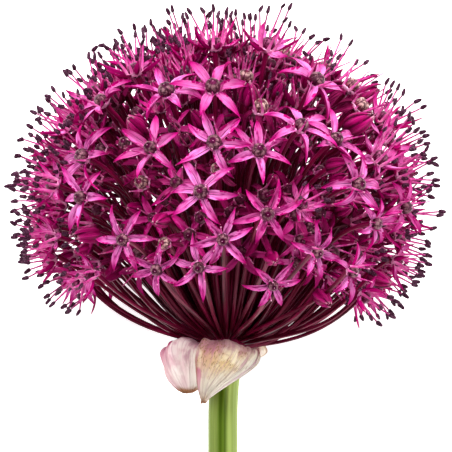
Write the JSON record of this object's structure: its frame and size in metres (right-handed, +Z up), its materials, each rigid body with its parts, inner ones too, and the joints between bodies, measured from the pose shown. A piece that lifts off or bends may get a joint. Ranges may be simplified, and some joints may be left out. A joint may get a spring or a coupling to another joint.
{
  "type": "allium flower head",
  "caption": "Round allium flower head, cut on a short stem and lying on its side: starry florets on long stalks over a papery sheath.",
  "frame": {"origin": "on the surface the flower lies on, under the middle of its box", "axes": "+Z up, +Y from the cut end of the stem to the flower, +X to its right seen from above"},
  "size_m": [0.1211, 0.1593, 0.1034],
  "materials": {
    "stem": "fresh green stem with fine lengthwise ribs",
    "spathe": "dry papery sheath, cream to pink",
    "floret": "soft magenta petals with darker veins",
    "bud": "soft dark magenta buds with pale tips"
  },
  "bodies": {
    "root": {"bud_029": "bud", "bud_064": "bud", "bud_082": "bud", "bud_093": "bud", "bud_103": "bud", "floret_000": "floret", "floret_001": "floret", "floret_002": "floret", "floret_004": "floret", "floret_005": "floret", "floret_006": "floret", "floret_009": "floret", "floret_010": "floret", "floret_011": "floret", "floret_013": "floret", "floret_014": "floret", "floret_015": "floret", "floret_017": "floret", "floret_023": "floret", "floret_024": "floret", "floret_025": "floret", "floret_026": "floret", "floret_042": "floret", "floret_046": "floret", "floret_049": "floret", "floret_051": "floret", "floret_052": "floret", "floret_057": "floret", "floret_060": "floret", "floret_066": "floret", "floret_067": "floret", "floret_075": "floret", "floret_077": "floret", "floret_079": "floret", "floret_083": "floret", "floret_086": "floret", "floret_088": "floret", "floret_097": "floret", "floret_106": "floret", "floret_107": "floret", "floret_110": "floret", "floret_111": "floret", "floret_117": "floret", "floret_122": "floret", "floret_126": "floret", "floret_128": "floret", "floret_129": "floret", "floret_131": "floret", "floret_133": "floret", "floret_136": "floret", "floret_139": "floret", "flower_stem": "stem", "spathe_back": "spathe", "spathe_left": "spathe", "spathe_right": "spathe"}
  },
  "joints": []
}
